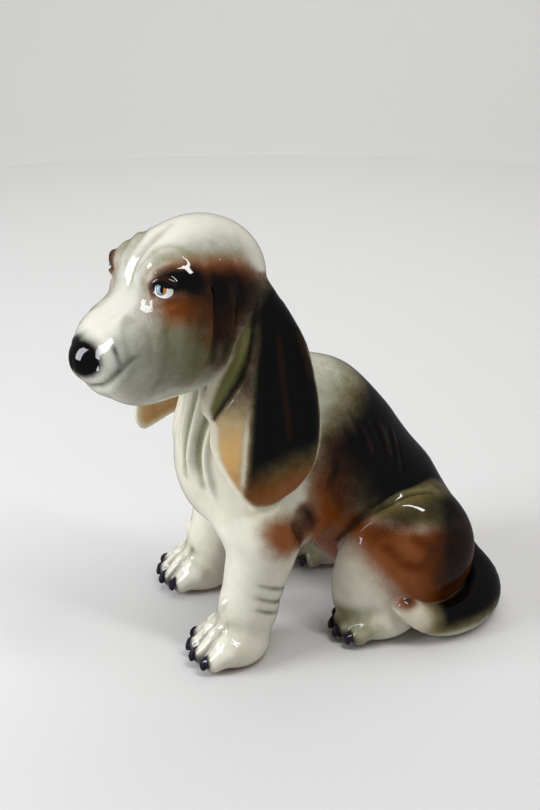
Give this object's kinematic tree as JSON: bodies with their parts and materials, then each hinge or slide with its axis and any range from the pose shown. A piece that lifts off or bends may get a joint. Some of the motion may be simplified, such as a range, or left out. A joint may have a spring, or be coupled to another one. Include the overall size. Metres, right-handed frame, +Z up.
{
  "type": "ceramic dog figurine",
  "caption": "Seated basset hound figurine in glossy glazed earthenware, slip-cast head, ears, legs and tail luted to a hollow torso, head turned a little to its left",
  "frame": {"origin": "middle of the bounding box's underside, on the table between the forelegs and the rump", "axes": "+Z up, the dog looks along -Y, its left side (the side the head turns to and the tail curls round) is +X"},
  "size_m": [0.142, 0.276, 0.275],
  "materials": {
    "glaze_ivory": "clear gloss glaze over an ivory ground, grey-green where it pools",
    "glaze_saddle": "gloss glaze over airbrushed black-olive saddle fading to rust brown and ivory",
    "glaze_head": "gloss glaze over cream, rust and grey-olive airbrushing with hand-painted eyes and nose",
    "glaze_ear": "gloss glaze over black-brown airbrushing with olive and tan edges",
    "glaze_haunch": "gloss glaze over ivory, rust brown and dark olive airbrushing",
    "glaze_tail": "gloss glaze over black-green airbrushing with a rust and ivory tip"
  },
  "bodies": {
    "root": {"torso": "glaze_saddle", "head": "glaze_head", "ear_left": "glaze_ear", "ear_right": "glaze_ear", "foreleg_left": "glaze_ivory", "foreleg_right": "glaze_ivory", "hind_leg_left": "glaze_haunch", "hind_leg_right": "glaze_haunch", "tail": "glaze_tail"}
  },
  "joints": []
}
